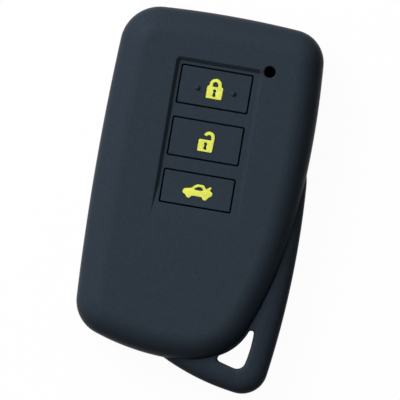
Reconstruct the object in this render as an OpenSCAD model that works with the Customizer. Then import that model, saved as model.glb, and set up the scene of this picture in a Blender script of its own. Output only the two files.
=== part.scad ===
// Moulded silicone cover for a car key fob: a soft sleeve with a rounded front slab, a lower
// rear tier that wraps the key's ring corner, three press pads hung on thin webs, and
// coloured symbols filled into the pads. It lies on its back rim, with its front face up,
// its top end towards +Y and its origin under the middle of its outline. Sizes are millimetres.

/* [Cover] */
// Width that the outlines are set out in
cover_w = 46; // [43:0.5:52]
// Length that the outlines are set out in, from the top end to the ring corner
cover_l = 80; // [74:0.5:88]
// Thickness from the back rim to the front face
cover_t = 16; // [15:0.25:19]
// Thickness of the side walls
side_wall = 1.5; // [1.2:0.1:1.8]
// Thickness of the front wall
front_wall = 1.8; // [1.7:0.1:2.2]
// Thickness of the back rim
back_wall = 1.5; // [1.2:0.1:1.9]
// How far the front edge rolls inwards
front_roll_in = 6; // [4.5:0.25:6.5]
// How far the front edge rolls down
front_roll_drop = 7; // [5:0.25:8]
// How far the back edge rolls inwards
back_roll_in = 3; // [2.4:0.1:4]
// How far the back edge rolls up
back_roll_rise = 3.5; // [2.6:0.1:4.5]
// Radius of the top right corner
top_right_r = 6.8; // [6.6:0.1:9]
// Radius of the top left corner
top_left_r = 8.6; // [6.8:0.1:10]
// Radius of the bottom left corner
bottom_left_r = 7.9; // [6.8:0.1:9.5]
// Radius of the bottom right corner, beside the ring hole
bottom_right_r = 16.8; // [15:0.1:18.5]
// Bow radius of the top end
top_bow_r = 215; // [150:5:400]
// Bow radius of the left side
left_bow_r = 560; // [300:10:900]
// Bow radius of the bottom end
bottom_bow_r = 60; // [45:1:90]
// Bow radius of the right side
right_bow_r = 154; // [110:2:250]

/* [Back window] */
// Width of the rim left round the back window
rim_w = 6.5; // [5.5:0.25:8]
// Least corner radius of the back window
window_corner_r = 5; // [4:0.25:7]

/* [Ring corner] */
// Height of the rear tier's front face
tier_t = 12; // [11:0.1:12.8]
// Gap under the rear tier when the cover lies on its rim
tier_lift = 0.4; // [0.3:0.1:0.6]
// How far the tier's front edge rolls inwards
tier_front_roll_in = 4.8; // [4:0.1:5.4]
// How far the tier's front edge rolls down
tier_front_roll_drop = 3.8; // [3.2:0.1:4.6]
// How far the tier's back edge rolls inwards
tier_back_roll_in = 3; // [2.2:0.1:3.5]
// How far the tier's back edge rolls up
tier_back_roll_rise = 2.8; // [2.2:0.1:3.1]
// Radius of the tier's free corner
tier_corner_r = 5.6; // [4.5:0.1:7]
// Radius of the tier's bend where it leaves the right flank
tier_flank_r = 15; // [12:1:20]
// Radius of the tier's bend where it leaves the bottom end
tier_toe_r = 12; // [9:1:14]
// Bow radius of the tier's right side
tier_right_bow_r = 198; // [120:1:300]
// Bow radius of the tier's bottom side
tier_bottom_bow_r = 52; // [40:1:90]
// Bow radius of the tier's inner side, under the slab
tier_inner_bow_r = 90; // [60:1:150]
// Band of the tier left outside the ring hole
ring_band = 4.95; // [4:0.05:5.5]
// Radius of the ring hole's wide corner
ring_wide_r = 1.9; // [1.5:0.1:2.3]
// Radius of the ring hole's two narrow corners
ring_narrow_r = 0.65; // [0.5:0.05:0.9]
// Gap between the ring hole and the slab's side
ring_gap = 0.15; // [0.1:0.05:0.4]
// Bow radius of the ring hole's right side
ring_right_bow_r = 40; // [25:1:80]
// Bow radius of the ring hole's bottom side
ring_bottom_bow_r = 25; // [18:1:60]
// Bevel round the ring hole
ring_bevel = 0.5; // [0.3:0.05:0.7]

/* [Press pads] */
// Width of every pad
pad_w = 15.2; // [14:0.05:16.5]
// Height of the lock pad
lock_pad_h = 8.05; // [7.4:0.05:8.6]
// Height of the unlock pad
unlock_pad_h = 8.1; // [7.4:0.05:8.6]
// Height of the trunk pad
trunk_pad_h = 7; // [6.4:0.05:7.6]
// Distance from the cover's top end to the lock pad
pad_set_down = 12; // [11:0.1:13]
// Distance from the cover's middle to the middle of the pads
pad_set_left = 0.5; // [0:0.1:1]
// Strip of front wall between one pad's groove and the next
pad_strip = 2.8; // [2.2:0.05:3.4]
// Corner radius of the pads
pad_corner_r = 0.2; // [0.15:0.05:0.6]
// Width of the groove round each pad
groove_w = 0.3; // [0.25:0.05:0.4]
// Thickness of the web at the bottom of the groove
web_t = 0.4; // [0.3:0.05:0.5]
// Diameter of the stub under each pad
stub_d = 4; // [3:0.25:5]
// Height of the stub under each pad
stub_h = 0.6; // [0.4:0.05:1]
// Diameter of the feel dots on the lock pad
dot_d = 1.2; // [0.9:0.05:1.4]
// Height of the feel dots
dot_h = 0.35; // [0.2:0.05:0.45]
// Distance from the lock symbol's middle to each feel dot
dot_reach = 3.95; // [3.3:0.05:4.6]
// How far the feel dots lie below the lock pad's middle
dot_set_down = 0.4; // [0:0.05:0.8]

/* [Recess] */
// Depth of the recess
recess_depth = 0.9; // [0.7:0.05:0.95]
// How far the recess's walls lean in from the front face to its floor
recess_lean = 0.9; // [0.6:0.05:1]
// Floor of the recess left of the pads
recess_left = 0.55; // [0.4:0.05:1]
// Floor of the recess right of the pads
recess_right = 1; // [0.6:0.05:1.5]
// Floor of the recess above the lock pad
recess_above = 0.55; // [0.4:0.05:1]
// Distance from the trunk pad's groove to the end of the recess, where its floor has risen to the face
recess_below = 3.1; // [2.5:0.1:4]
// Length of the ramp on which the recess's floor rises to the face
recess_ramp_l = 7.3; // [6:0.1:9]

/* [Sight hole] */
// Diameter of the lamp's sight hole
sight_d = 2.4; // [2:0.1:2.7]
// Distance from the lock pad's groove to the middle of the sight hole
sight_set_beside = 3.3; // [3:0.1:3.7]
// Distance from the cover's top end to the sight hole
sight_set_down = 10.6; // [10:0.1:11]
// Bevel round the sight hole
sight_bevel = 0.25; // [0.2:0.05:0.5]

/* [Symbols] */
// Distance from the pads' middle to the middle of the symbols
symbol_set_right = 0.1; // [0:0.05:0.4]
// Thickness of the coloured filling
fill_t = 0.35; // [0.3:0.05:0.4]
// How far the filling lies below the pad
fill_sink = 0.15; // [0.1:0.05:0.2]
// Width of a padlock symbol's body
lock_w = 3.5; // [3.2:0.05:3.8]
// Height of a padlock symbol's body
lock_h = 2.75; // [2.5:0.05:3]
// Outer radius of a padlock symbol's shackle
shackle_r = 1.3; // [1.2:0.01:1.4]
// Width of a padlock symbol's shackle bar
shackle_bar = 0.75; // [0.68:0.01:0.82]
// Radius of a padlock symbol's keyhole
keyhole_r = 0.32; // [0.25:0.01:0.4]
// Length of the trunk symbol's car
car_l = 6.65; // [6:0.05:7.2]
// Height of the trunk symbol's car
car_h = 3.35; // [3:0.05:3.7]

/* [Hidden] */
silicone = [0.17, 0.2, 0.24];
web_silicone = [0.1, 0.12, 0.14];
symbol_lime = [0.88, 0.9, 0.2];
// Overrun of every cut
over = 1;
// Counts of points on each corner and each bowed side of an outline, and rings on each rolled edge
corner_steps = 9;
side_steps = 5;
roll_steps = 7;
$fn = 48;

// Where the corners of the slab and the tier reach, as shares of the half width and half length:
// the slab's top right, top left, bottom left and bottom right corners
slab_reach_shares = [[0.943, 0.9845], [-0.970, 0.989], [-0.972, -0.816], [0.773, -0.8785]];
// The tier's free corner, its bend on the flank and its bend at the bottom end
tier_reach_shares = [[0.914, -1], [0.982, 0.5125], [-0.565, -0.839]];
// Outward directions of the slab's side where the ring hole's narrow corners touch it
ring_top_turn = -29;
ring_left_turn = -58;

// A corner disc of radius r that reaches as far as the shares of the half sizes say
function corner(reach_share, r) =
    [reach_share.x * cover_w / 2 - sign(reach_share.x) * r,
        reach_share.y * cover_l / 2 - sign(reach_share.y) * r, r];

slab_discs = [
    corner(slab_reach_shares[0], top_right_r),
    corner(slab_reach_shares[1], top_left_r),
    corner(slab_reach_shares[2], bottom_left_r),
    corner(slab_reach_shares[3], bottom_right_r)
];
slab_bows = [top_bow_r, left_bow_r, bottom_bow_r, right_bow_r];
tier_discs = [
    corner(tier_reach_shares[0], tier_corner_r),
    corner(tier_reach_shares[1], tier_flank_r),
    corner(tier_reach_shares[2], tier_toe_r)
];
tier_bows = [tier_right_bow_r, tier_inner_bow_r, tier_bottom_bow_r];

// Angles: the direction of v, and the turn from a to b, all the way round or the short way
function heading(v) = atan2(v.y, v.x);
function turn(a, b) = (b - a) - 360 * floor((b - a) / 360);
function short_turn(a, b) = turn(a, b + 180) - 180;

// Centre of the bowed side that touches discs a and b; a bow below zero is hollow
function side_centre(a, b, bow) =
    let (
        run = [b.x - a.x, b.y - a.y],
        d = norm(run),
        p = bow - a.z,
        q = bow - b.z,
        along = (d * d + p * p - q * q) / (2 * d),
        across = sign(bow) * sqrt(p * p - along * along)
    )
    [a.x + (run.x * along - run.y * across) / d, a.y + (run.y * along + run.x * across) / d];

// An outline that runs anticlockwise round discs joined by bowed sides, as arcs:
// each is [centre, radius, first direction, turn, steps]
function outline_arcs(discs, bows) =
    let (
        count = len(discs),
        centres = [for (i = [0 : count - 1]) side_centre(discs[i], discs[(i + 1) % count], bows[i])]
    )
    [for (i = [0 : count - 1]) each
        let (
            here = [discs[i].x, discs[i].y],
            next = [discs[(i + 1) % count].x, discs[(i + 1) % count].y],
            before = (i + count - 1) % count,
            first = heading(sign(bows[before]) * (here - centres[before])),
            last = heading(sign(bows[i]) * (here - centres[i])),
            after = heading(sign(bows[i]) * (next - centres[i]))
        )
        [[here, discs[i].z, first, turn(first, last), corner_steps],
            [centres[i], bows[i], last, short_turn(last, after), side_steps]]
    ];

// The points of an outline moved inwards by inset, at height z
function ring(arcs, inset, z) =
    [for (a = arcs) for (k = [0 : a[4] - 1])
        let (t = a[2] + a[3] * k / a[4])
        [a[0].x + (a[1] - inset) * cos(t), a[0].y + (a[1] - inset) * sin(t), z]
    ];

// The point of an outline that faces the direction t, moved inwards by inset
function outline_point(arcs, t, inset) =
    [for (a = arcs) if (turn(a[2], t) <= a[3]) a[0] + (a[1] - inset) * [cos(t), sin(t)]][0];

// A profile of [inset, height] from z0 up to z1 with a quarter ellipse rolled at each end
function rolled_profile(z0, z1, low_in, low_rise, high_in, high_drop) =
    concat(
        [for (k = [roll_steps : -1 : 0])
            let (t = 90 * k / roll_steps)
            [low_in * (1 - cos(t)), z0 + low_rise * (1 - sin(t))]],
        [for (k = [0 : roll_steps])
            let (t = 90 * k / roll_steps)
            [high_in * (1 - cos(t)), z1 - high_drop * (1 - sin(t))]]
    );

slab_arcs = outline_arcs(slab_discs, slab_bows);
tier_arcs = outline_arcs(tier_discs, tier_bows);
slab_profile = rolled_profile(0, cover_t, back_roll_in, back_roll_rise, front_roll_in, front_roll_drop);
cavity_profile = rolled_profile(back_wall, cover_t - front_wall,
    back_roll_in - side_wall, back_roll_rise - back_wall,
    front_roll_in - side_wall, front_roll_drop - front_wall);
tier_profile = rolled_profile(tier_lift, tier_t, tier_back_roll_in, tier_back_roll_rise,
    tier_front_roll_in, tier_front_roll_drop);
pocket_profile = rolled_profile(tier_lift + side_wall, tier_t - side_wall,
    tier_back_roll_in - side_wall, tier_back_roll_rise - side_wall,
    tier_front_roll_in - side_wall, tier_front_roll_drop - side_wall);

// The back window follows the slab's outline inside the rim, with rounder corners
function window_disc(disc) =
    let (
        r = max(disc.z - rim_w, window_corner_r),
        shift = r - (disc.z - rim_w)
    )
    [disc.x - sign(disc.x) * shift, disc.y - sign(disc.y) * shift, r];
window_discs = [for (disc = slab_discs) window_disc(disc)];
window_bows = [for (bow = slab_bows) bow - rim_w];

// The ring hole: two narrow corners against the slab's side and a wide one in the tier's corner
ring_top = outline_point(slab_arcs, ring_top_turn, -(ring_gap + ring_narrow_r));
ring_left = outline_point(slab_arcs, ring_left_turn, -(ring_gap + ring_narrow_r));
ring_set_in = ring_band + ring_wide_r - tier_corner_r;
ring_discs = [
    [tier_discs[0].x - ring_set_in, tier_discs[0].y + ring_set_in, ring_wide_r],
    [ring_top.x, ring_top.y, ring_narrow_r],
    [ring_left.x, ring_left.y, ring_narrow_r]
];
ring_hollow_r = bottom_right_r + ring_gap;
ring_arcs = outline_arcs(ring_discs, [ring_right_bow_r, -ring_hollow_r, ring_bottom_bow_r]);

// Pads: places of their middles, and the height that their tops share with the recess floor
pad_x = -pad_set_left;
pad_step = pad_strip + 2 * groove_w;
lock_y = cover_l / 2 - pad_set_down - lock_pad_h / 2;
unlock_y = lock_y - lock_pad_h / 2 - pad_step - unlock_pad_h / 2;
trunk_y = unlock_y - unlock_pad_h / 2 - pad_step - trunk_pad_h / 2;
lock_pad = [lock_y, lock_pad_h];
unlock_pad = [unlock_y, unlock_pad_h];
trunk_pad = [trunk_y, trunk_pad_h];
floor_z = cover_t - recess_depth;
ramp_high_y = trunk_y - trunk_pad_h / 2 - groove_w - recess_below;
ramp_low_y = ramp_high_y + recess_ramp_l;
function pad_top_z(y) = cover_t - recess_depth * min((y - ramp_high_y) / recess_ramp_l, 1);
ceiling_z = cover_t - front_wall;
symbol_x = pad_x + symbol_set_right;
sight_x = pad_x + pad_w / 2 + groove_w + sight_set_beside;
dot_y = lock_y - dot_set_down;
// Radius of the ball whose cap is a feel dot
dot_ball_r = (dot_d * dot_d / 4 + dot_h * dot_h) / (2 * dot_h);

// The solid between the first and last of a stack of rings with equal numbers of points
module loft(rings) {
    count = len(rings[0]);
    last = len(rings) - 1;
    polyhedron(
        points = [for (r = rings) each r],
        faces = concat(
            [[for (i = [0 : count - 1]) i]],
            [for (j = [0 : last - 1]) for (i = [0 : count - 1])
                [j * count + i, (j + 1) * count + i,
                    (j + 1) * count + (i + 1) % count, j * count + (i + 1) % count]],
            [[for (i = [count - 1 : -1 : 0]) last * count + i]]
        )
    );
}

// A solid of the given outline and profile, planed flat at both ends
module moulding(arcs, profile) {
    low = profile[0];
    high = profile[len(profile) - 1];
    intersection() {
        loft(concat([ring(arcs, low.x, low.y - over)],
            [for (p = profile) ring(arcs, p.x, p.y)],
            [ring(arcs, high.x, high.y + over)]));
        translate([-cover_w, -cover_l, low.y]) cube([2 * cover_w, 2 * cover_l, high.y - low.y]);
    }
}

// Everything below the floor of the recess and its ramp, less drop
module below_floor(drop) {
    rotate([90, 0, 90]) linear_extrude(2 * cover_w, center = true)
        polygon([[ramp_high_y, 0], [cover_l, 0], [cover_l, floor_z - drop],
            [ramp_low_y, floor_z - drop], [ramp_high_y, cover_t - drop]]);
}

module rounded_rectangle(w, h, r) {
    square([w - 2 * r, h], center = true);
    square([w, h - 2 * r], center = true);
    for (sx = [-1, 1]) for (sy = [-1, 1])
        translate([sx * (w / 2 - r), sy * (h / 2 - r)]) circle(r);
}

// The shallow recess: a flat floor with a ramp at its foot, and leaning walls
module recess() {
    left = pad_x - pad_w / 2 - groove_w - recess_left;
    right = pad_x + pad_w / 2 + groove_w + recess_right;
    top = lock_y + lock_pad_h / 2 + groove_w + recess_above;
    climb = (recess_depth + over) / recess_depth;
    lean = climb * recess_lean;
    foot = ramp_low_y - climb * recess_ramp_l;
    polyhedron(
        points = [
            [left - lean, foot, cover_t + over],
            [right + lean, foot, cover_t + over],
            [right, ramp_low_y, floor_z],
            [left, ramp_low_y, floor_z],
            [right, top, floor_z],
            [left, top, floor_z],
            [right + lean, top + lean, cover_t + over],
            [left - lean, top + lean, cover_t + over]
        ],
        faces = [[0, 1, 2, 3], [3, 2, 4, 5], [0, 3, 5, 7], [1, 6, 4, 2], [5, 4, 6, 7], [0, 7, 6, 1]]
    );
}

module pad_opening(pad) {
    translate([pad_x, pad[0], ceiling_z - over]) linear_extrude(front_wall + 2 * over)
        rounded_rectangle(pad_w + 2 * groove_w, pad[1] + 2 * groove_w, pad_corner_r + groove_w);
}

module sight_hole() {
    translate([sight_x, cover_l / 2 - sight_set_down, ceiling_z - over]) {
        cylinder(h = front_wall + 2 * over, d = sight_d);
        translate([0, 0, front_wall + over - sight_bevel])
            cylinder(h = sight_bevel + over, r1 = sight_d / 2, r2 = sight_d / 2 + sight_bevel + over);
    }
}

module ring_hole() {
    loft([
        ring(ring_arcs, -(ring_bevel + over), tier_lift - over),
        ring(ring_arcs, 0, tier_lift + ring_bevel),
        ring(ring_arcs, 0, tier_t - ring_bevel),
        ring(ring_arcs, -(ring_bevel + over), tier_t + over)
    ]);
}

module cover_shell() {
    color(silicone) difference() {
        union() {
            moulding(slab_arcs, slab_profile);
            difference() {
                moulding(tier_arcs, tier_profile);
                ring_hole();
            }
        }
        moulding(slab_arcs, [for (p = cavity_profile) [p.x + side_wall, p.y]]);
        moulding(tier_arcs, [for (p = pocket_profile) [p.x + side_wall, p.y]]);
        translate([0, 0, -over]) linear_extrude(back_wall + 2 * over)
            polygon([for (p = ring(outline_arcs(window_discs, window_bows), 0, 0)) [p.x, p.y]]);
        recess();
        pad_opening(lock_pad);
        pad_opening(unlock_pad);
        pad_opening(trunk_pad);
        sight_hole();
    }
}

// A press pad with its stub, before its symbol is sunk in
module plain_pad(pad) {
    intersection() {
        translate([pad_x, pad[0], ceiling_z]) linear_extrude(front_wall + over)
            rounded_rectangle(pad_w, pad[1], pad_corner_r);
        below_floor(0);
    }
    translate([pad_x, pad[0], ceiling_z - stub_h]) cylinder(h = stub_h + web_t, d = stub_d);
}

// The pocket for a symbol on a pad, open to the pad's top; its children are the symbol's outline
module filling_pocket(pad) {
    translate([symbol_x, pad[0], pad_top_z(pad[0]) - fill_sink - fill_t]) linear_extrude(fill_t + over)
        children();
}

// The coloured filling that lies in that pocket
module filling(pad) {
    intersection() {
        filling_pocket(pad) children();
        below_floor(fill_sink);
    }
}

module keyhole() {
    top_y = 1.6 * keyhole_r;
    foot_y = -2.3 * keyhole_r;
    foot_x = 1.2 * keyhole_r;
    neck_x = keyhole_r / 2;
    translate([0, top_y]) circle(keyhole_r);
    polygon([[-foot_x, foot_y], [foot_x, foot_y], [neck_x, top_y], [-neck_x, top_y]]);
}

// A padlock symbol, centred on its pad, with its shackle closed or swung open
module padlock(open) {
    shackle_x = open ? lock_w / 2 - shackle_r : 0;
    shackle_y = open ? 0.9 * shackle_bar : 0.55 * shackle_bar;
    rise = shackle_y + shackle_r;
    far = 2 * shackle_r;
    translate([0, -rise / 2]) difference() {
        union() {
            rounded_rectangle(lock_w, lock_h, lock_w / 12);
            translate([shackle_x, lock_h / 2 + shackle_y]) difference() {
                circle(shackle_r);
                if (open) polygon([[0, 0], [-far, shackle_r], [-far, -far], [0, -far]]);
            }
            for (side = open ? [1] : [-1, 1])
                translate([shackle_x + side * (shackle_r - shackle_bar / 2), lock_h / 2])
                    square([shackle_bar, 2 * shackle_y], center = true);
        }
        translate([shackle_x, lock_h / 2 + shackle_y]) circle(shackle_r - shackle_bar);
        keyhole();
    }
}

// The trunk symbol: a saloon car facing left with its boot lid up, as shares of its size
car_shares = [
    [-0.50, -0.10], [-0.45, 0.10], [-0.22, 0.19], [-0.08, 0.47], [-0.03, 0.50], [0.19, 0.49],
    [0.28, 0.26], [0.375, 0.46], [0.43, 0.42], [0.44, 0.30], [0.42, 0.18], [0.47, 0.12],
    [0.50, -0.06], [0.43, -0.28], [0.33, -0.46], [0.25, -0.50], [0.19, -0.43], [0.15, -0.31],
    [-0.15, -0.31], [-0.20, -0.46], [-0.27, -0.50], [-0.34, -0.41], [-0.36, -0.30], [-0.46, -0.24]
];
car_window_shares = [[-0.12, 0.11], [-0.03, 0.24], [0.06, 0.28], [0.12, 0.25], [0.16, 0.11]];
module car() {
    difference() {
        polygon([for (s = car_shares) [s.x * car_l, s.y * car_h]]);
        polygon([for (s = car_window_shares) [s.x * car_l, s.y * car_h]]);
    }
}

module lock_button() {
    color(silicone) difference() {
        union() {
            plain_pad(lock_pad);
            for (side = [-1, 1])
                translate([symbol_x + side * dot_reach, dot_y, pad_top_z(dot_y) + dot_h - dot_ball_r])
                    sphere(dot_ball_r);
        }
        filling_pocket(lock_pad) padlock(false);
    }
}

module unlock_button() {
    color(silicone) difference() {
        plain_pad(unlock_pad);
        filling_pocket(unlock_pad) padlock(true);
    }
}

module trunk_button() {
    color(silicone) difference() {
        plain_pad(trunk_pad);
        filling_pocket(trunk_pad) car();
    }
}

// The thin web that joins a pad to the front wall at the bottom of its groove
module web(pad) {
    color(web_silicone) translate([pad_x, pad[0], ceiling_z]) linear_extrude(web_t) difference() {
        rounded_rectangle(pad_w + 2 * groove_w, pad[1] + 2 * groove_w, pad_corner_r + groove_w);
        rounded_rectangle(pad_w, pad[1], pad_corner_r);
    }
}

module lock_web() {
    web(lock_pad);
}

module unlock_web() {
    web(unlock_pad);
}

module trunk_web() {
    web(trunk_pad);
}

module lock_icon() {
    color(symbol_lime) filling(lock_pad) padlock(false);
}

module unlock_icon() {
    color(symbol_lime) filling(unlock_pad) padlock(true);
}

module trunk_icon() {
    color(symbol_lime) filling(trunk_pad) car();
}

cover_shell();
lock_button();
unlock_button();
trunk_button();
lock_web();
unlock_web();
trunk_web();
lock_icon();
unlock_icon();
trunk_icon();
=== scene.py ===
import math

import bpy
import numpy as np
from mathutils import Matrix


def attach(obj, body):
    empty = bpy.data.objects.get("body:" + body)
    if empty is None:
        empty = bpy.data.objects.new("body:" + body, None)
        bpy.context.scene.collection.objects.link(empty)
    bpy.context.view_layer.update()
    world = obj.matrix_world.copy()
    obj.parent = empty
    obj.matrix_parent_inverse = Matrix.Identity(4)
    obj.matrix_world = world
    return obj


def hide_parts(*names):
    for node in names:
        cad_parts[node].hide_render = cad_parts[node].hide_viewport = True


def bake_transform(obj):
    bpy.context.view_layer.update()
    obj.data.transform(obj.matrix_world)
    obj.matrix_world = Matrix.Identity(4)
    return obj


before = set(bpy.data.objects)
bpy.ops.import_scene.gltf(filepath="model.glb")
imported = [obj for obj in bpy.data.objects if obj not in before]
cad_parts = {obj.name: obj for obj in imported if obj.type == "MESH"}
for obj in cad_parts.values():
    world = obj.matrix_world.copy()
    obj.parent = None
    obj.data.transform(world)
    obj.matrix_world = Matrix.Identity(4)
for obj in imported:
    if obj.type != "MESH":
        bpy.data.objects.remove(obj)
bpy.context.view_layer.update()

# The sleeve. The real one is a single moulding of silicone rubber about 1.5 mm thick: a
# round-edged front slab, a lower tier for the key's ring corner behind it, an open back, and
# a front wall with three openings for the pads. Sizes down to the webs are in millimetres.
MM = 0.001
SLEEVE_T = 16.0
FRONT_WALL = 1.8
BACK_WALL = 1.5
SIDE_WALL = 1.5
CEILING_Z = SLEEVE_T - FRONT_WALL
# How far a cutting tool runs past the face that it cuts
OVER = 1
# Spacing of an outline's points, the least number of them round a corner, and steps of a roll
OUTLINE_SPACING = 0.8
RING_SPACING = 0.4
CORNER_STEPS = 8
ROLL_STEPS = 12

# Corner discs [x, y, radius] of each outline, anticlockwise, and the bow of the side after each
SLAB_DISCS = [
    [14.71, 32.27, 7.11],
    [-13.69, 30.94, 8.63],
    [-14.55, -24.77, 7.8],
    [2.2, -20.38, 14.55],
    [-8.66, -1.33, 30.0],
]
SLAB_BOWS = [215.0, 558.0, 51.9, 82.6, 199.8]
TIER_DISCS = [[15.422, -34.4, 5.6], [7.586, 5.5, 15.0], [-0.995, -21.56, 12.0]]
TIER_BOWS = [198.0, 90.0, 52.0]
TIER_Z = (0.4, 12.0)
RING_DISCS = [[14.12, -33.02, 1.85], [16.1, -26.78, 0.6], [10.68, -33.18, 0.8]]
RING_BOWS = [27.9, -11.3, 62.0]
RING_ROUND = 0.7
# How far each roll reaches inwards and along the height, at the back and then at the front
SLAB_ROLLS = (3, 3.5, 6, 7)
TIER_ROLLS = (3, 2.8, 4.8, 3.8)
CAVITY_ROLLS = (1.5, 2, 4.5, 5.2)
POCKET_ROLLS = (1.5, 1.3, 3.3, 2.3)


def side_centre(a, b, bow):
    """Centre of the bowed side that touches the discs a and b; a bow below zero is hollow."""
    run = np.subtract(b[:2], a[:2])
    length = math.hypot(*run)
    p, q = bow - a[2], bow - b[2]
    along = (length**2 + p * p - q * q) / (2 * length)
    across = math.copysign(math.sqrt(p * p - along * along), bow)
    return a[:2] + (run * along + np.array([-run[1], run[0]]) * across) / length


def outline(discs, bows, spacing):
    """Points round discs joined by bowed sides, as rows of arc centre, radius and outward way."""
    count = len(discs)
    centres = [side_centre(discs[i], discs[(i + 1) % count], bows[i]) for i in range(count)]

    def heading(start, end, bow):
        way = np.subtract(end, start) * math.copysign(1, bow)
        return math.atan2(way[1], way[0])

    rows = []
    for i in range(count):
        here, after = discs[i][:2], discs[(i + 1) % count][:2]
        first = heading(centres[i - 1], here, bows[i - 1])
        last = heading(centres[i], here, bows[i])
        beyond = heading(centres[i], after, bows[i])
        corner_turn = (last - first) % math.tau
        side_turn = (beyond - last + math.pi) % math.tau - math.pi
        for centre, radius, start, turn, least in (
            (here, discs[i][2], first, corner_turn, CORNER_STEPS),
            (centres[i], bows[i], last, side_turn, 1),
        ):
            steps = max(least, math.ceil(abs(radius * turn) / spacing))
            for way in start + turn * np.arange(steps) / steps:
                rows.append((*centre, radius, math.cos(way), math.sin(way)))
    return np.array(rows)


def ring(rows, inset, z):
    """The outline moved inwards by inset, at height z, which may depend on the place."""
    xy = rows[:, :2] + (rows[:, 2] - inset)[:, None] * rows[:, 3:5]
    heights = z(xy[:, 0], xy[:, 1]) if callable(z) else np.full(len(xy), z)
    return np.column_stack([xy, heights])


def placed(name, data):
    """A new object that holds the data, in the scene."""
    made = bpy.data.objects.new(name, data)
    bpy.context.scene.collection.objects.link(made)
    return made


def loft(name, rings, strips=0):
    """A closed mesh between stacked rings of equal counts, its top one face or strips across."""
    count = len(rings[0])
    faces = [tuple(range(count - 1, -1, -1))]
    for low in range(0, (len(rings) - 1) * count, count):
        for i in range(count):
            j = (i + 1) % count
            faces.append((low + i, low + j, low + count + j, low + count + i))
    top = (len(rings) - 1) * count
    if strips:
        pairs = [(top + (strips - k) % count, top + strips + 1 + k) for k in range(count // 2)]
        faces += [(a, b, d, c) for (a, b), (c, d) in zip(pairs, pairs[1:])]
    else:
        faces.append(tuple(range(top, top + count)))
    mesh = bpy.data.meshes.new(name)
    mesh.from_pydata(np.concatenate(rings).tolist(), [], faces)
    return placed(name, mesh)


def rolled(z0, z1, low_in, low_rise, high_in, high_drop):
    """Insets and heights of a wall whose two ends roll inwards on quarter ellipses."""
    turns = np.linspace(math.pi / 2, 0, ROLL_STEPS + 1)
    low = [(low_in * (1 - math.cos(t)), z0 + low_rise * (1 - math.sin(t))) for t in turns]
    high = [(high_in * (1 - math.cos(t)), z1 - high_drop * (1 - math.sin(t))) for t in turns[::-1]]
    return low + high


def settle(piece):
    """Turns the piece's modifiers into its own mesh."""
    graph = bpy.context.evaluated_depsgraph_get()
    mesh = bpy.data.meshes.new_from_object(piece.evaluated_get(graph), depsgraph=graph)
    piece.modifiers.clear()
    piece.data = mesh


def carve(body, tool, how="DIFFERENCE"):
    """Cuts the tool out of the body, or joins it on, and drops the tool."""
    step = body.modifiers.new("carve", "BOOLEAN")
    step.operation = how
    step.solver = "MANIFOLD"
    step.object = tool
    settle(body)
    bpy.data.objects.remove(tool)


def finish_mesh(piece, crease=30):
    """Brings a piece from millimetres to metres and shades it, its creases kept sharp."""
    piece.data.transform(Matrix.Scale(MM, 4))
    piece.data.shade_smooth()
    piece.data.set_sharp_from_angle(angle=math.radians(crease))
    shading = piece.modifiers.new("shading", "WEIGHTED_NORMAL")
    shading.mode = "FACE_AREA"
    shading.weight = 100
    shading.keep_sharp = True
    settle(piece)


def coat(piece, material):
    """Gives the piece its only material."""
    piece.data.materials.clear()
    piece.data.materials.append(material)


def mouth(radius, z, way=1, reach=1):
    """Levels of a cutting tool that rounds the edge of its hole at the face z, top or bottom.

    Past the rounding the tool goes on for the reach, on a slope of 15 degrees.
    """
    turns = np.radians([0, 15, 30, 45, 60, 75])
    levels = [(-radius * (1 - math.cos(t)), z - way * radius * (1 - math.sin(t))) for t in turns]
    inset, height = levels[-1]
    return levels + [(inset - 0.966 * reach, height + way * 0.259 * reach)]


slab_rows = outline(SLAB_DISCS, SLAB_BOWS, OUTLINE_SPACING)
tier_rows = outline(TIER_DISCS, TIER_BOWS, OUTLINE_SPACING)
ring_rows = outline(RING_DISCS, RING_BOWS, RING_SPACING)

slab_levels = rolled(0, SLEEVE_T, *SLAB_ROLLS)
sleeve = loft("sleeve", [ring(slab_rows, *level) for level in slab_levels])
tier_levels = rolled(*TIER_Z, *TIER_ROLLS)
tier = loft("tier", [ring(tier_rows, *level) for level in tier_levels])

# The narrow crease where the slab's roll meets the tier's face. It starts at an inset from the
# slab's outline and has a soft edge, given as widenings and drops below the face.
CREASE_IN = 0.34
CREASE_EDGE = [(0, 0.6), (0, 0.2), (0.06, 0.06), (0.2, 0), (0.5, -0.1)]
crease_rings = [ring(slab_rows, CREASE_IN - out, TIER_Z[1] - drop) for out, drop in CREASE_EDGE]
carve(tier, loft("crease", crease_rings))

# The ring hole, and the hollows for the key fob and for the head of its emergency key
hole_levels = mouth(RING_ROUND, TIER_Z[0], -1)[::-1] + mouth(RING_ROUND, TIER_Z[1])
carve(tier, loft("ring_hole", [ring(ring_rows, *level) for level in hole_levels]))
carve(sleeve, tier, "UNION")
cavity_levels = rolled(BACK_WALL, CEILING_Z, *CAVITY_ROLLS)
carve(sleeve, loft("cavity", [ring(slab_rows, SIDE_WALL + i, z) for i, z in cavity_levels]))
pocket_levels = rolled(TIER_Z[0] + SIDE_WALL, TIER_Z[1] - SIDE_WALL, *POCKET_ROLLS)
carve(sleeve, loft("pocket", [ring(tier_rows, SIDE_WALL + i, z) for i, z in pocket_levels]))

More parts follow.
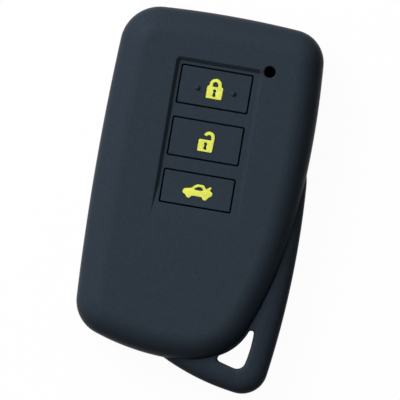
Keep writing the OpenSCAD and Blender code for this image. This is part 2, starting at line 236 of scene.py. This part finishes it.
# The open back: the slab's outline inside its rim, with rounder corners
RIM_W = 6.5
WINDOW_R = 5.0
RIM_ROUND, LEDGE_ROUND = 0.5, 0.4
window_discs = []
for x, y, r in SLAB_DISCS:
    window_r = max(r - RIM_W, WINDOW_R)
    shift = window_r - (r - RIM_W)
    window_discs.append([x - math.copysign(shift, x), y - math.copysign(shift, y), window_r])
window_bows = [bow - RIM_W for bow in SLAB_BOWS]
window_rows = outline(window_discs, window_bows, OUTLINE_SPACING)
window_levels = mouth(RIM_ROUND, 0, -1)[::-1] + mouth(LEDGE_ROUND, BACK_WALL)
carve(sleeve, loft("window", [ring(window_rows, *level) for level in window_levels]))

# The shallow recess round the pads: the left, right, low and high edge of its cutting tool at
# the face, a flat floor, and a ramp at its foot, which rises from there to the face at RAMP_Y
RECESS = (-9.85, 9.3, -20.0, 29.7)
RECESS_CORNERS = (1.2, 1.2, 1, 1)
RECESS_DEPTH = 0.9
RAMP_Y, RAMP_L = -5.35, 7.3
# Its wall from the floor up, as insets and drops below the face, and the steeper right wall
RECESS_WALL = [(0.98, 0.9), (0.95, 0.885), (0.925, 0.86), (0.25, 0.125), (0.2, 0.08)]
RECESS_WALL += [(0.14, 0.036), (0.07, 0.01), (0, 0), (-0.8, -0.04), (-0.8, -OVER)]
RECESS_RIGHT_LEAN = 0.8
# The wedge that takes the recess's tool off the ramp: its two ends, half its width and its foot
WEDGE_Y = (-25, 12)
WEDGE_REACH = 20
WEDGE_Z = 10
ARC_STEPS = 6


def sink(y):
    """Depth of the recess at the place y."""
    return RECESS_DEPTH * np.minimum((np.asarray(y) - RAMP_Y) / RAMP_L, 1)


def rounded_rows(left, right, low, high, radii):
    """The outline of a rectangle with rounded corners, from the top right one anticlockwise."""
    rows = []
    corners = ((right, high), (left, high), (left, low), (right, low))
    for quarter, ((x, y), r) in enumerate(zip(corners, radii)):
        centre_x = x - math.copysign(r, x - (left + right) / 2)
        centre_y = y - math.copysign(r, y - (low + high) / 2)
        for way in np.radians(90 * quarter + np.linspace(0, 90, ARC_STEPS + 1)):
            rows.append((centre_x, centre_y, r, math.cos(way), math.sin(way)))
    return np.array(rows)


recess_rows = rounded_rows(*RECESS, RECESS_CORNERS)
lean = 1 + (RECESS_RIGHT_LEAN - 1) * np.maximum(recess_rows[:, 3], 0)
recess_rings = [ring(recess_rows, inset * lean, SLEEVE_T - drop) for inset, drop in RECESS_WALL]
recess = loft("recess", recess_rings)
low_y, high_y = WEDGE_Y
low_top, high_top = SLEEVE_T - RECESS_DEPTH * ((np.array(WEDGE_Y) - RAMP_Y) / RAMP_L)
wedge_side = [(0, low_y, WEDGE_Z), (0, high_y, WEDGE_Z)]
wedge_side += [(0, high_y, high_top), (0, low_y, low_top)]
wedge_ends = [np.add(wedge_side, (x, 0, 0)) for x in (-WEDGE_REACH, WEDGE_REACH)]
carve(recess, loft("wedge", wedge_ends))
carve(sleeve, recess)

# The openings for the pads, each wider than its pad by a groove all round: the pads' middle and
# height in y, and the soft edge of a groove, which stays off the recess's walls
PAD_X = -0.5
PAD_W = 15.08
PADS = {"lock": (23.83, 7.94), "unlock": (12.46, 7.92), "trunk": (1.65, 6.8)}
PAD_CORNER = 0.22
PAD_STRIPS = 7
GROOVE_W = 0.34
OPENING_CORNER = 0.42
GROOVE_ROUND, GROOVE_REACH = 0.1, 0.1


def pad_rows(name, out, r):
    """The outline of a pad moved outwards, with a place on both sides where the ramp begins."""
    (pad_y, pad_h), half_w = PADS[name], PAD_W / 2 + out
    low, high = pad_y - pad_h / 2 - out, pad_y + pad_h / 2 + out
    rows = rounded_rows(PAD_X - half_w, PAD_X + half_w, low, high, [r] * 4)
    bend = RAMP_Y + RAMP_L if name == "trunk" else pad_y
    right, left = (PAD_X + half_w - r, bend, r, 1, 0), (PAD_X - half_w + r, bend, r, -1, 0)
    half = len(rows) // 2
    return np.array([right, *rows[:half], left, *rows[half:]])


for name in PADS:
    rows = pad_rows(name, GROOVE_W, OPENING_CORNER)
    rings = [ring(rows, 0, CEILING_Z - OVER)]
    for inset, z in mouth(GROOVE_ROUND, SLEEVE_T, 1, GROOVE_REACH):
        rings.append(ring(rows, inset, lambda x, y, z=z: z - sink(y)))
    carve(sleeve, loft(name + "_opening", rings + [rings[-1] + (0, 0, OVER)], PAD_STRIPS))

# The sight hole: its x, y and radius, and the bevel of its edge as insets and drops
SIGHT = (10.65, 29.38, 1.2)
SIGHT_STEPS = 48
SIGHT_EDGE = [(0, 0.38), (-0.05, 0.3), (-0.25, 0.05), (-0.36, 0), (-0.36, -OVER)]
sight_turns = np.linspace(0, math.tau, SIGHT_STEPS, endpoint=False)
sight_rows = np.array([(*SIGHT, math.cos(t), math.sin(t)) for t in sight_turns])
sight_levels = [(0, CEILING_Z - OVER)] + [(inset, SLEEVE_T - drop) for inset, drop in SIGHT_EDGE]
carve(sleeve, loft("sight_hole", [ring(sight_rows, *level) for level in sight_levels]))
finish_mesh(sleeve)
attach(sleeve, "cover")
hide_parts("cover_shell")

# The silicone: its mottle as a share of the colour, how much the roughness varies, and the
# height of the moulded grain
MOTTLE = 0.11
POLISH = 0.05
GRAIN = 0.018


def silicone(name, colour, roughness):
    """Matt silicone: a faint mottle, a fine moulded grain, and shinier and duller places."""
    material = bpy.data.materials.new(name)
    material.use_nodes = True
    nodes, links = material.node_tree.nodes, material.node_tree.links
    shader = nodes["Principled BSDF"]
    shader.inputs["IOR"].default_value = 1.41
    shader.inputs["Specular IOR Level"].default_value = 0.012
    place = nodes.new("ShaderNodeTexCoord")

    def pattern(scale, detail, low, high, coarseness=0.5):
        noise = nodes.new("ShaderNodeTexNoise")
        noise.inputs["Scale"].default_value = scale
        noise.inputs["Detail"].default_value = detail
        noise.inputs["Roughness"].default_value = coarseness
        links.new(place.outputs["Object"], noise.inputs["Vector"])
        ramp = nodes.new("ShaderNodeValToRGB")
        ramp.color_ramp.elements[0].position = 0.3
        ramp.color_ramp.elements[0].color = (*low, 1)
        ramp.color_ramp.elements[1].position = 0.7
        ramp.color_ramp.elements[1].color = (*high, 1)
        links.new(noise.outputs["Fac"], ramp.inputs["Fac"])
        return ramp.outputs["Color"]

    darker, lighter = [c * (1 - MOTTLE) for c in colour], [c * (1 + MOTTLE) for c in colour]
    mottled = pattern(scale=1400, detail=6, low=darker, high=lighter, coarseness=0.7)
    links.new(mottled, shader.inputs["Base Color"])
    shinier, duller = [roughness - POLISH] * 3, [roughness + POLISH] * 3
    links.new(pattern(scale=170, detail=4, low=shinier, high=duller), shader.inputs["Roughness"])
    bump = nodes.new("ShaderNodeBump")
    bump.inputs["Distance"].default_value = GRAIN * MM
    bump.inputs["Strength"].default_value = 0.6
    grain = pattern(scale=9000, detail=2, low=(0, 0, 0), high=(1, 1, 1))
    links.new(grain, bump.inputs["Height"])
    links.new(bump.outputs["Normal"], shader.inputs["Normal"])
    return material


SLATE = (0.0302, 0.0412, 0.0554)
SLATE_ROUGHNESS = 0.31
coat(sleeve, silicone("slate_silicone", SLATE, SLATE_ROUGHNESS))

# The symbols. On the real sleeve lime silicone is poured into pockets in the pads and cured,
# so each symbol lies a little below its pad, with a soft edge where the pour met the wall.
FILL_T = 0.35
FILL_SINK = 0.15
FILL_GAP = 0.07
FILL_EDGE = 0.06
FILL_Z = SLEEVE_T - FILL_SINK
SYMBOL_X = PAD_X + 0.04
SYMBOL_Y = {"lock": 23.875, "unlock": 12.4, "trunk": 1.45}
# Corners of a padlock's body, its keyhole, and where an open shackle stands and ends
BODY_R = 0.3
KEYHOLE_R = 0.33
SHACKLE_OUT = 0.1
SHACKLE_END = 166


def arc(x, y, r, start, end, steps):
    """Points on an arc, between two directions in degrees."""
    turns = np.radians(np.linspace(start, end, steps + 1))
    return [(x + r * math.cos(t), y + r * math.sin(t)) for t in turns]


def padlock(body_w, body_h, shackle_r, bar, rise, open_shackle):
    """Loops of a padlock symbol, its middle at the origin: the outer edge, then its holes."""
    side, r = body_w / 2, BODY_R
    shackle_x = side - shackle_r + SHACKLE_OUT if open_shackle else 0
    middle = -(rise + shackle_r) / 2
    top, low = middle + body_h / 2, middle - body_h / 2
    shackle_y = top + rise
    inner_r = shackle_r - bar
    edge = arc(-side + r, low + r, r, 180, 270, 5) + arc(side - r, low + r, r, 270, 360, 5)
    if open_shackle:
        edge += arc(shackle_x, shackle_y, shackle_r, 0, SHACKLE_END, 18)
        edge += arc(shackle_x, shackle_y, inner_r, SHACKLE_END, 0, 12)
        edge += [(shackle_x + inner_r, top)]
    else:
        edge += arc(side - r, top - r, r, 0, 90, 5)
        edge += arc(shackle_x, shackle_y, shackle_r, 0, 180, 24)
    edge += arc(-side + r, top - r, r, 90, 180, 5)
    hole_y = middle + 1.2 * KEYHOLE_R
    foot_y, foot_x = middle - 2.5 * KEYHOLE_R, 1.1 * KEYHOLE_R
    keyhole = arc(0, hole_y, KEYHOLE_R, -60, 240, 14) + [(-foot_x, foot_y), (foot_x, foot_y)]
    loops = [edge, keyhole]
    if not open_shackle:
        foot = top - FILL_EDGE
        loops.append(arc(0, shackle_y, inner_r, 0, 180, 12) + [(-inner_r, foot), (inner_r, foot)])
    return loops


def rounded_loop(points, rounds=2, pull=0.25):
    """A loop with its corners cut off twice, so that it runs as a soft curve."""
    points = np.array(points)
    for _ in range(rounds):
        ahead = np.roll(points, -1, axis=0)
        pairs = (points * (1 - pull) + ahead * pull, points * pull + ahead * (1 - pull))
        points = np.stack(pairs, axis=1).reshape(-1, 2)
    return points


# A saloon car facing left with its boot lid up: points in millimetres from its middle, drawn at
# this share of their distance along x and y
CAR_SHARE = (0.975, 1)
CAR_EDGE = [
    (-3.36, -0.33), (-3.2, 0.15), (-2.8, 0.4), (-1.55, 0.56), (-0.78, 1.38), (-0.25, 1.6),
    (0.95, 1.62), (1.35, 1.42), (1.72, 0.85), (1.95, 0.86), (2.5, 1.42), (2.82, 1.4), (2.98, 1.1),
    (2.7, 0.66), (2.78, 0.5), (3.2, 0.32), (3.42, -0.05), (3.3, -0.45), (2.95, -0.72), (2.6, -1.0),
    (2.1, -1.62), (1.75, -1.7), (1.42, -1.5), (1.15, -1.08), (0.9, -1.02), (-0.9, -1.02),
    (-1.2, -1.12), (-1.45, -1.6), (-1.9, -1.68), (-2.35, -1.28), (-2.6, -0.95), (-3.1, -0.78),
]
CAR_WINDOW = [(-0.95, 0.28), (-0.45, 0.78), (0.15, 1.06), (0.75, 1.02), (1.08, 0.72), (1.22, 0.28)]
SYMBOLS = {
    "lock": padlock(
        body_w=3.5, body_h=2.72, shackle_r=1.32, bar=0.76, rise=0.4, open_shackle=False
    ),
    "unlock": padlock(
        body_w=3.28, body_h=2.64, shackle_r=1.22, bar=0.76, rise=0.64, open_shackle=True
    ),
    "trunk": [rounded_loop(loop) * CAR_SHARE for loop in (CAR_EDGE, CAR_WINDOW)],
}
WELD = 0.0005


def plate(name, loops, y, thickness, z, edge=0, grow=0):
    """A symbol as a flat plate with rounded edges, its top at z less the depth of the recess."""
    curve = bpy.data.curves.new(name, "CURVE")
    curve.dimensions = "2D"
    curve.fill_mode = "BOTH"
    curve.extrude = thickness / 2 - edge
    curve.bevel_depth = edge
    curve.bevel_resolution = 2
    curve.offset = grow - edge
    for loop in loops:
        spline = curve.splines.new("POLY")
        spline.points.add(len(loop) - 1)
        for point, (px, py) in zip(spline.points, loop):
            point.co = (SYMBOL_X + px, y + py, 0, 1)
        spline.use_cyclic_u = True
    drawn = placed(name, curve)
    graph = bpy.context.evaluated_depsgraph_get()
    mesh = bpy.data.meshes.new_from_object(drawn.evaluated_get(graph), depsgraph=graph)
    bpy.data.objects.remove(drawn)
    for corner in mesh.vertices:
        corner.co.z += z - thickness / 2 - float(sink(corner.co.y))
    made = placed(name, mesh)
    welded = made.modifiers.new("weld", "WELD")
    welded.merge_threshold = WELD
    settle(made)
    return made


lime_silicone = silicone("lime_silicone", (0.83, 0.86, 0.13), 0.5)
for name, loops in SYMBOLS.items():
    symbol = plate(name + "_symbol", loops, SYMBOL_Y[name], FILL_T, FILL_Z, edge=FILL_EDGE)
    finish_mesh(symbol)
    coat(symbol, lime_silicone)
    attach(symbol, name + "_pad")
    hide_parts(name + "_icon")

# The press pads. Each is moulded with the sleeve and stands in its opening, level with the
# recess, with a stub beneath that meets the fob's own button. The lock pad has two feel dots.
PAD_ROUND = 0.12
PAD_FOOT_EDGE = 0.08
# The stub: its foot's edge as narrowings and rises, and how far it runs up into the pad
STUB_R, STUB_H = 2.0, 0.6
STUB_EDGE = [(0.25, 0), (0.07, 0.07), (0, 0.25)]
STUB_ROOT = 0.4
# The feel dots: the middle between them, and the distance of each from it
DOT_X, DOT_Y = -0.33, 23.525
DOT_REACH = 3.92
DOT_R, DOT_H = 0.6, 0.6
DOT_ROOT = 0.3
TURNED_STEPS = 40
pad_silicone = silicone("pad_silicone", SLATE, SLATE_ROUGHNESS)


def turned(name, x, y, levels):
    """A round solid from its radii and heights, from the lowest up."""
    turns = np.linspace(0, math.tau, TURNED_STEPS, endpoint=False)
    rows = np.array([(x, y, 0, math.cos(t), math.sin(t)) for t in turns])
    return loft(name, [ring(rows, -radius, z) for radius, z in levels])


for name, (pad_y, pad_h) in PADS.items():
    rows = pad_rows(name, 0, PAD_CORNER)
    rings = [ring(rows, PAD_FOOT_EDGE, CEILING_Z), ring(rows, 0, CEILING_Z + PAD_FOOT_EDGE)]
    for t in np.linspace(0, math.pi / 2, 7):
        inset, drop = PAD_ROUND * (1 - math.cos(t)), PAD_ROUND * (1 - math.sin(t))
        rings.append(ring(rows, inset, lambda x, y, drop=drop: SLEEVE_T - sink(y) - drop))
    pad = loft(name + "_pad", rings, PAD_STRIPS)
    stub_low = CEILING_Z - STUB_H
    stub_levels = [(STUB_R - inset, stub_low + rise) for inset, rise in STUB_EDGE]
    stub_levels.append((STUB_R, CEILING_Z + STUB_ROOT))
    carve(pad, turned("stub", PAD_X, pad_y, stub_levels), "UNION")
    if name == "lock":
        dot_z = SLEEVE_T - RECESS_DEPTH
        dot_levels = [(DOT_R, dot_z - DOT_ROOT)]
        for t in np.radians([0, 12, 24, 36, 48, 60, 72, 84]):
            dot_levels.append((DOT_R * math.cos(t), dot_z + DOT_H * math.sin(t)))
        for side in (-1, 1):
            carve(pad, turned("dot", DOT_X + side * DOT_REACH, DOT_Y, dot_levels), "UNION")
    pocket_t, pocket_z = FILL_T + OVER, FILL_Z + OVER
    pocket = plate("pocket", SYMBOLS[name], SYMBOL_Y[name], pocket_t, pocket_z, grow=FILL_GAP)
    carve(pad, pocket)
    finish_mesh(pad)
    coat(pad, pad_silicone)
    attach(pad, name + "_pad")
    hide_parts(name + "_button")

# The webs. Each is the thin bottom of the groove round a pad, moulded in one with both, and
# it stretches as the pad goes down. Its outer edge stays with the sleeve, its inner one moves.
# The section gives distances from the pad's outline and heights, once round.
WEB_SECTION = [(0.36, 14.2), (0.36, 14.3), (0.18, 14.4)]
WEB_SECTION += [(-0.02, 14.52), (-0.02, 14.42), (0.18, 14.3)]
# The webs' silicone is painted nearly black, much darker than the slate they are moulded with:
# painted shade for the deep, narrow grooves they lie at the bottom of.
web_silicone = silicone("web_silicone", (0.008, 0.012, 0.017), 0.6)
for name in PADS:
    rows = pad_rows(name, 0, PAD_CORNER)
    rings = [ring(rows, -out, z) for out, z in WEB_SECTION]
    count, levels = len(rows), len(rings)
    faces = []
    for level in range(levels):
        for i in range(count):
            j = (i + 1) % count
            low, high = level * count, (level + 1) % levels * count
            faces.append((low + i, low + j, high + j, high + i))
    mesh = bpy.data.meshes.new(name + "_membrane")
    mesh.from_pydata(np.concatenate(rings).tolist(), [], faces)
    web = placed(name + "_membrane", mesh)
    finish_mesh(web)
    coat(web, web_silicone)
    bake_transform(web)
    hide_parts(name + "_web")

# The stage, in metres: a plain white sheet under the sleeve, which shows white to the camera,
# keeps a light shadow and gives the sleeve only a little light back. Under the sleeve the sheet
# is painted dark, as over a key fob: painted shade for the sleeve's hollow, so the sight hole
# looks dark.
SHEET_HALF = 3.0
SHEET_DROP = 0.00005
SHEET_GLOW = 0.965
SEEN_TONE, LIT_TONE, SHADE_PATCH_TONE = 0.95, 0.16, 0.02
# The patch of sheet under the sleeve, along x and y in metres; its tone, the last one above, is
# painted shade.
SHADE_PATCH = (("X", -0.018, 0.014), ("Y", -0.022, 0.034))
corners = [(SHEET_HALF * x, SHEET_HALF * y, 0) for x, y in ((-1, -1), (1, -1), (1, 1), (-1, 1))]
sheet_mesh = bpy.data.meshes.new("sheet")
sheet_mesh.from_pydata(corners, [], [(0, 1, 2, 3)])
sheet = placed("sheet", sheet_mesh)
sheet.location.z = -SHEET_DROP


def feed(tree, entry, value):
    """Links a socket to the entry of a node, or gives the entry a plain number."""
    if isinstance(value, bpy.types.NodeSocket):
        tree.links.new(value, entry)
    else:
        entry.default_value = value


def step_of(tree, how, first, second):
    """The result of one step of arithmetic on two sockets or plain numbers."""
    node = tree.nodes.new("ShaderNodeMath")
    node.operation = how
    feed(tree, node.inputs[0], first)
    feed(tree, node.inputs[1], second)
    return node.outputs[0]


def blend_of(tree, flag, low, high):
    """A number that is low where the flag is nought and high where it is one."""
    node = tree.nodes.new("ShaderNodeMapRange")
    feed(tree, node.inputs["Value"], flag)
    feed(tree, node.inputs["To Min"], low)
    feed(tree, node.inputs["To Max"], high)
    return node.outputs["Result"]


def seen_flag(tree, ray):
    """A flag that is one for the camera's own rays, reflected ones and transmitted ones."""
    either = step_of(tree, "MAXIMUM", ray.outputs["Is Camera Ray"], ray.outputs["Is Glossy Ray"])
    return step_of(tree, "MAXIMUM", either, ray.outputs["Is Transmission Ray"])


sheet_white = bpy.data.materials.new("sheet_white")
sheet_white.use_nodes = True
tree = sheet_white.node_tree
place = tree.nodes.new("ShaderNodeTexCoord")
parts = tree.nodes.new("ShaderNodeSeparateXYZ")
tree.links.new(place.outputs["Object"], parts.inputs["Vector"])
inside = 1
for axis, low, high in SHADE_PATCH:
    for how, limit in (("GREATER_THAN", low), ("LESS_THAN", high)):
        within = step_of(tree, how, parts.outputs[axis], limit)
        inside = step_of(tree, "MULTIPLY", inside, within)
outside = step_of(tree, "SUBTRACT", 1, inside)
ray = tree.nodes.new("ShaderNodeLightPath")
paper_tone = blend_of(tree, ray.outputs["Is Camera Ray"], LIT_TONE, SEEN_TONE)
paper = tree.nodes["Principled BSDF"]
paper.inputs["Roughness"].default_value = 0.9
paper.inputs["Specular IOR Level"].default_value = 0.0
# Within the patch under the sleeve the paper takes its painted shade.
tree.links.new(blend_of(tree, outside, SHADE_PATCH_TONE, paper_tone), paper.inputs["Base Color"])
glow = tree.nodes.new("ShaderNodeEmission")
glow.inputs["Color"].default_value = (1, 1, 1, 1)
mix = tree.nodes.new("ShaderNodeMixShader")
share = step_of(tree, "MULTIPLY", seen_flag(tree, ray), outside)
tree.links.new(step_of(tree, "MULTIPLY", share, SHEET_GLOW), mix.inputs["Fac"])
tree.links.new(paper.outputs["BSDF"], mix.inputs[1])
tree.links.new(glow.outputs["Emission"], mix.inputs[2])
tree.links.new(mix.outputs["Shader"], tree.nodes["Material Output"].inputs["Surface"])
coat(sheet, sheet_white)

# The studio, in metres: two large soft lamps, one from the upper left and one nearly overhead,
# and a little daylight all round. Their levels add up to one on a flat white sheet.
SKY_LEVEL = 0.05
LAMP_D = 0.8
# Each lamp's name, level, size, height above the sheet and way round it in degrees
LAMPS = [("key", 0.75, 0.5, 43, 140), ("overhead", 0.2, 0.6, 76, 190)]
world = bpy.data.worlds.new("studio")
bpy.context.scene.world = world
world.use_nodes = True
tree = world.node_tree
sky = tree.nodes["Background"]
sky.inputs["Color"].default_value = (1, 1, 1, 1)
seen = seen_flag(tree, tree.nodes.new("ShaderNodeLightPath"))
tree.links.new(blend_of(tree, seen, SKY_LEVEL, 1), sky.inputs["Strength"])
for name, level, size, height, way in LAMPS:
    lamp_data = bpy.data.lights.new(name, "AREA")
    lamp_data.shape = "SQUARE"
    lamp_data.size = size
    rise, turn = math.radians(height), math.radians(way)
    # The power that lights a flat white sheet to the level
    lamp_data.energy = level * math.pi**2 * LAMP_D**2 / math.sin(rise)
    lamp = placed(name, lamp_data)
    out = LAMP_D * math.cos(rise)
    lamp.location = (out * math.cos(turn), out * math.sin(turn), LAMP_D * math.sin(rise))
    lamp.rotation_euler = (0, math.pi / 2 - rise, turn)
    lamp.visible_camera = False

# The camera, in metres: straight above and far off, turned as the photograph leans. The picture
# is as wide as the photograph's 400 pixels at about 0.216 millimetres each.
PHOTO_LEAN = 9.7
PHOTO_W = 0.08634
CAMERA_D = 3.0
AIM = (0.0004, -0.00024, 0.006)
SENSOR_W = 36
camera_data = bpy.data.cameras.new("camera")
camera_data.sensor_width = SENSOR_W
camera_data.lens = SENSOR_W * CAMERA_D / PHOTO_W
camera_data.clip_start, camera_data.clip_end = 0.1, 20
camera = placed("camera", camera_data)
camera.location = (AIM[0], AIM[1], AIM[2] + CAMERA_D)
camera.rotation_euler = (0, 0, math.radians(PHOTO_LEAN))
bpy.context.scene.camera = camera
bpy.context.scene.view_settings.view_transform = "Standard"
